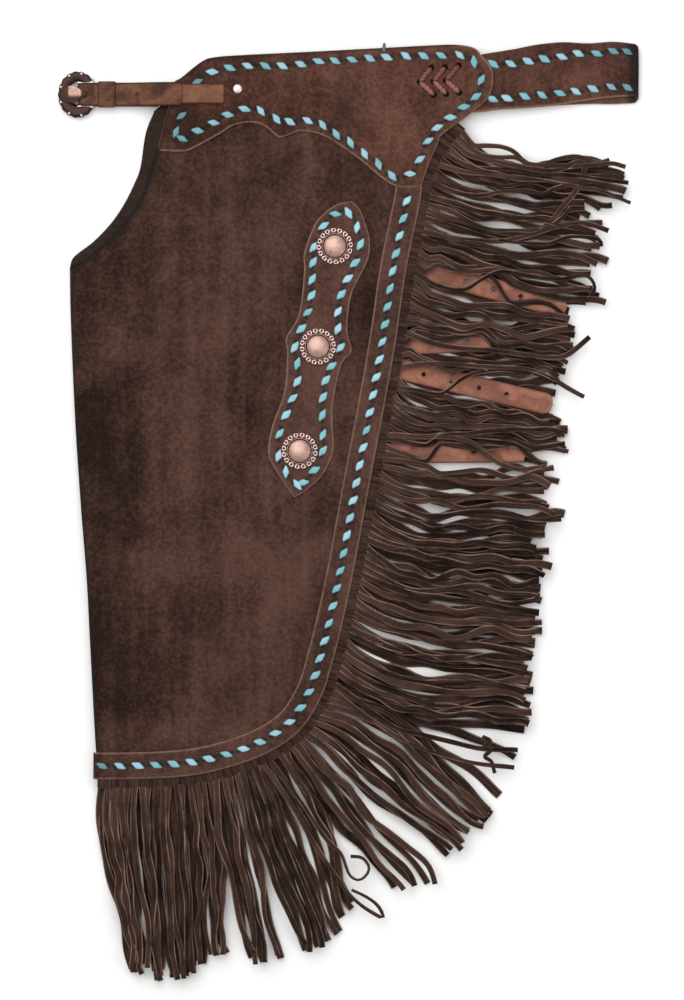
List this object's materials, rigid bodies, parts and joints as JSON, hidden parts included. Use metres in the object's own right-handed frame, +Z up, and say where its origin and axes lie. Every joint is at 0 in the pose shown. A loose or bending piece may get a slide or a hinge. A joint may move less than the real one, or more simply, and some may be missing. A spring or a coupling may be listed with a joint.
{
  "type": "leather chaps",
  "caption": "Fringed suede chaps, a pair folded at the centre back and laid flat, with scalloped yoke, back belt, front buckle strap, concho patch and punched leg straps",
  "frame": {"origin": "bottom centre of the whole object's box, on the surface that it lies on", "axes": "+Y up the garment from hem to waist, +X from the fold towards the leg's fringed outer edge, +Z up from the surface"},
  "size_m": [0.551, 0.8937, 0.0217],
  "materials": {
    "suede": "napped",
    "yoke_suede": "napped",
    "fringe_suede": "napped",
    "tan_leather": "smooth",
    "strap_leather": "smooth",
    "copper": "satin, copper coloured",
    "dark_metal": "dark antiqued"
  },
  "bodies": {
    "root": {"back_belt": "yoke_suede", "buckle_frame": "dark_metal", "buckle_tongue": "copper", "concho_1": "copper", "concho_2": "copper", "concho_3": "copper", "concho_patch": "suede", "edge_binding": "suede", "fringe_top": "fringe_suede", "fringe_under": "fringe_suede", "front_billet": "strap_leather", "front_chape": "strap_leather", "leg_panel": "suede", "leg_strap_1": "tan_leather", "leg_strap_2": "tan_leather", "leg_strap_3": "tan_leather", "leg_strap_4": "tan_leather", "strap_keeper": "strap_leather", "under_layers": "suede", "yoke": "yoke_suede", "yoke_rivet": "copper"}
  },
  "joints": []
}
